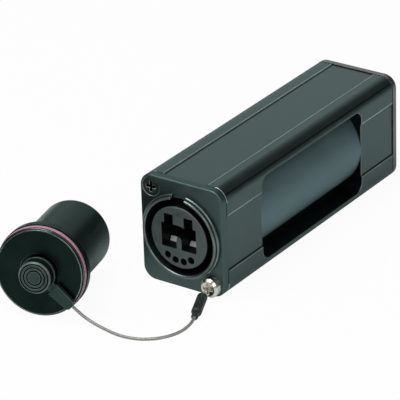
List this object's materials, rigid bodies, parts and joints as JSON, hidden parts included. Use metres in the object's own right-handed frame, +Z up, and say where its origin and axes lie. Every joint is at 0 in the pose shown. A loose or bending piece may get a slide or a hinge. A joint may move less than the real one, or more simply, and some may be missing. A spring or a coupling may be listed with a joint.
{
  "type": "rugged lc duplex fibre coupler",
  "caption": "Black extruded box that joins rugged duplex fibre cables, with a round locking port in a square flange at each end and a tethered dust cap lying beside it.",
  "frame": {"origin": "centre of the box's underside, midway between its two end flanges", "axes": "+X to the right as seen from the front port, +Y from the front port to the rear port, +Z up"},
  "size_m": [0.0553, 0.1258, 0.031],
  "materials": {
    "anodised_black": "black anodised, satin",
    "shell_black": "black plated zinc casting, satin",
    "shell_nickel": "nickel plated zinc casting, satin",
    "gasket_rubber": "matt rubber",
    "insert_grey": "moulded plastic, fine matt",
    "spring_steel": "bright spring steel",
    "leaf_steel": "bright rolled strip",
    "contact_gold": "gold plated",
    "screw_black": "black zinc",
    "screw_bright": "bright zinc",
    "fibre_jacket": "extruded jacket",
    "link_wire": "extruded insulation",
    "terminal_steel": "tinned",
    "tether_sleeve": "shrunk sleeve, satin",
    "tether_wire": "stranded wire, clear coated",
    "tab_plastic": "moulded plastic, satin",
    "cap_black": "moulded plastic, satin",
    "ring_pink": "silicone rubber",
    "rivet_black": "moulded plastic, polished",
    "ceramic_white": "zirconia, polished",
    "plug_plastic": "moulded plastic",
    "boot_rubber": "soft rubber"
  },
  "bodies": {
    "coupler": {"fibre_left": "fibre_jacket", "fibre_right": "fibre_jacket", "front_adapter_back": "insert_grey", "front_boot_left": "boot_rubber", "front_boot_right": "boot_rubber", "front_contacts": "contact_gold", "front_countersunk_screw": "screw_black", "front_ferrule_left": "ceramic_white", "front_ferrule_right": "ceramic_white", "front_gasket": "gasket_rubber", "front_insert": "insert_grey", "front_leaf_left": "leaf_steel", "front_leaf_right": "leaf_steel", "front_pan_screw": "screw_bright", "front_plug_clip": "plug_plastic", "front_plug_left": "plug_plastic", "front_plug_right": "plug_plastic", "front_retaining_ring": "spring_steel", "front_shell": "shell_black", "front_sleeve_left": "ceramic_white", "front_sleeve_right": "ceramic_white", "housing": "anodised_black", "link_wires": "link_wire", "rear_adapter_back": "insert_grey", "rear_boot_left": "boot_rubber", "rear_boot_right": "boot_rubber", "rear_contacts": "contact_gold", "rear_ferrule_left": "ceramic_white", "rear_ferrule_right": "ceramic_white", "rear_gasket": "gasket_rubber", "rear_insert": "insert_grey", "rear_leaf_left": "leaf_steel", "rear_leaf_right": "leaf_steel", "rear_plug_clip": "plug_plastic", "rear_plug_left": "plug_plastic", "rear_plug_right": "plug_plastic", "rear_retaining_ring": "spring_steel", "rear_screws": "screw_bright", "rear_shell": "shell_nickel", "rear_sleeve_left": "ceramic_white", "rear_sleeve_right": "ceramic_white", "tether_sleeve": "tether_sleeve", "tether_tab": "tab_plastic", "tether_terminal": "terminal_steel", "tether_wire": "tether_wire"},
    "dust_cap": {"cap_body": "cap_black", "cap_ring": "ring_pink", "cap_rivet": "rivet_black"}
  },
  "joints": [
    {"name": "cap_swivel", "type": "hinge", "parent": "coupler", "child": "dust_cap", "pos_m": [-0.02275, -0.0754, 0.01284], "axis": [-0.3073, 0.9457, -0.1058], "continuous": true}
  ]
}
